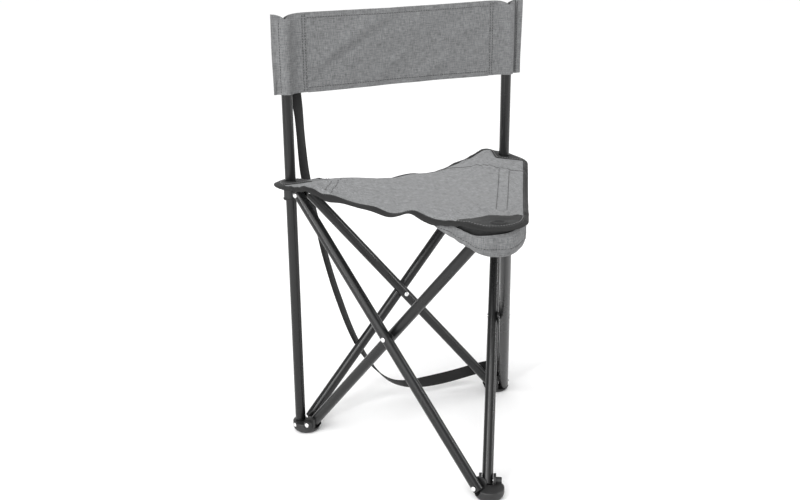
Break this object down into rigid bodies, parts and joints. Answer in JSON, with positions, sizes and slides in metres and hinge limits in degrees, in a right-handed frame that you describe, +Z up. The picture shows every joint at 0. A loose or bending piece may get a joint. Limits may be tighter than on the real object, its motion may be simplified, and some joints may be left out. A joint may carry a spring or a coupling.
{
  "type": "three leg stool",
  "caption": "Folding stool with scissor tube legs, a triangular cloth seat on moulded hubs, two tall rear posts with a cloth back, and a carry strap.",
  "frame": {"origin": "on the floor, at the middle of the whole outline", "axes": "+Z up, -Y towards the front corner, +X towards the rear right post"},
  "size_m": [0.495, 0.4624, 0.784],
  "materials": {
    "frame_steel": "satin black powder coat",
    "rivet_steel": "bright",
    "moulded_plastic": "fine matt grain",
    "grey_cloth": "heather weave",
    "corner_cloth": "close weave",
    "black_webbing": "ribbed webbing"
  },
  "bodies": {
    "rear_left_leg": {"rear_left_post": "frame_steel", "rear_left_foot": "moulded_plastic", "rear_left_foot_rivets": "rivet_steel", "rear_left_post_cap": "moulded_plastic", "back_left_sleeve": "grey_cloth", "back_panel": "grey_cloth", "carry_strap": "black_webbing"},
    "rear_right_leg": {"rear_right_post": "frame_steel", "rear_right_foot": "moulded_plastic", "rear_right_foot_rivets": "rivet_steel", "rear_right_post_cap": "moulded_plastic", "back_right_sleeve": "grey_cloth", "strap_lower_loop": "black_webbing"},
    "front_foot": {"front_foot": "moulded_plastic", "front_foot_rivets": "rivet_steel"},
    "rear_left_hub": {"rear_left_hub": "moulded_plastic", "rear_left_hub_rivets": "rivet_steel", "rear_left_patch": "corner_cloth", "seat_panel": "grey_cloth", "seat_binding": "black_webbing"},
    "front_hub": {"front_hub": "moulded_plastic", "front_hub_rivets": "rivet_steel", "front_patch": "corner_cloth", "front_pocket": "grey_cloth"},
    "rear_right_hub": {"rear_right_hub": "moulded_plastic", "rear_right_hub_rivets": "rivet_steel", "rear_right_patch": "corner_cloth"},
    "left_outer": {"left_outer_tube": "frame_steel", "left_outer_plugs": "moulded_plastic"},
    "left_inner": {"left_inner_tube": "frame_steel", "left_inner_plugs": "moulded_plastic", "left_scissor_rivet": "rivet_steel", "left_scissor_spacer": "moulded_plastic"},
    "right_outer": {"right_outer_tube": "frame_steel", "right_outer_plugs": "moulded_plastic"},
    "right_inner": {"right_inner_tube": "frame_steel", "right_inner_plugs": "moulded_plastic", "right_scissor_rivet": "rivet_steel", "right_scissor_spacer": "moulded_plastic"},
    "rear_outer": {"rear_outer_tube": "frame_steel", "rear_outer_plugs": "moulded_plastic"},
    "rear_inner": {"rear_inner_tube": "frame_steel", "rear_inner_plugs": "moulded_plastic", "rear_scissor_rivet": "rivet_steel", "rear_scissor_spacer": "moulded_plastic"}
  },
  "joints": [
    {"name": "fold", "type": "hinge", "parent": "rear_left_leg", "child": "left_inner", "pos_m": [-0.19262, 0.15944, 0.021], "axis": [-0.866, -0.5, 0], "range_deg": [0, 36], "deforming": ["seat_panel", "seat_binding", "rear_left_patch", "front_patch", "rear_right_patch", "front_pocket", "back_panel", "carry_strap"]},
    {"name": "left_scissor", "type": "hinge", "parent": "left_inner", "child": "left_outer", "pos_m": [-0.1075, -0.0085, 0.248], "axis": [-0.866, -0.5, 0], "range_deg": [-72, 0]},
    {"name": "rear_left_hub_pivot", "type": "hinge", "parent": "left_outer", "child": "rear_left_hub", "pos_m": [-0.21038, 0.14919, 0.475], "axis": [-0.866, -0.5, 0], "range_deg": [0, 36]},
    {"name": "front_foot_pivot", "type": "hinge", "parent": "left_outer", "child": "front_foot", "pos_m": [-0.02238, -0.17644, 0.021], "axis": [-0.866, -0.5, 0], "range_deg": [0, 36]},
    {"name": "front_hub_pivot", "type": "hinge", "parent": "left_inner", "child": "front_hub", "pos_m": [-0.00462, -0.16619, 0.475], "axis": [-0.866, -0.5, 0], "range_deg": [-36, 0]},
    {"name": "rear_outer_pivot", "type": "hinge", "parent": "rear_left_leg", "child": "rear_outer", "pos_m": [-0.188, 0.18795, 0.021], "axis": [0, 1, 0], "range_deg": [-36, 0]},
    {"name": "rear_scissor", "type": "hinge", "parent": "rear_outer", "child": "rear_inner", "pos_m": [0, 0.1777, 0.248], "axis": [0, 1, 0], "range_deg": [0, 72]},
    {"name": "rear_right_foot_pivot", "type": "hinge", "parent": "rear_inner", "child": "rear_right_leg", "pos_m": [0.188, 0.16745, 0.021], "axis": [0, 1, 0], "range_deg": [-36, 0]},
    {"name": "rear_right_hub_pivot", "type": "hinge", "parent": "rear_outer", "child": "rear_right_hub", "pos_m": [0.188, 0.18795, 0.475], "axis": [0, 1, 0], "range_deg": [0, 36]},
    {"name": "right_inner_pivot", "type": "hinge", "parent": "front_foot", "child": "right_inner", "pos_m": [0.00462, -0.16619, 0.021], "axis": [0.866, -0.5, 0], "range_deg": [0, 36]},
    {"name": "right_scissor", "type": "hinge", "parent": "right_inner", "child": "right_outer", "pos_m": [0.1075, -0.0085, 0.248], "axis": [0.866, -0.5, 0], "range_deg": [-72, 0]}
  ],
  "couplings": [
    {"joint": "left_scissor", "follows": "fold", "ratio": -2},
    {"joint": "rear_left_hub_pivot", "follows": "fold", "ratio": 1},
    {"joint": "front_foot_pivot", "follows": "fold", "ratio": 1},
    {"joint": "front_hub_pivot", "follows": "fold", "ratio": -1},
    {"joint": "rear_outer_pivot", "follows": "fold", "ratio": -1},
    {"joint": "rear_scissor", "follows": "fold", "ratio": 2},
    {"joint": "rear_right_foot_pivot", "follows": "fold", "ratio": -1},
    {"joint": "rear_right_hub_pivot", "follows": "fold", "ratio": 1},
    {"joint": "right_inner_pivot", "follows": "fold", "ratio": 1},
    {"joint": "right_scissor", "follows": "fold", "ratio": -2}
  ]
}
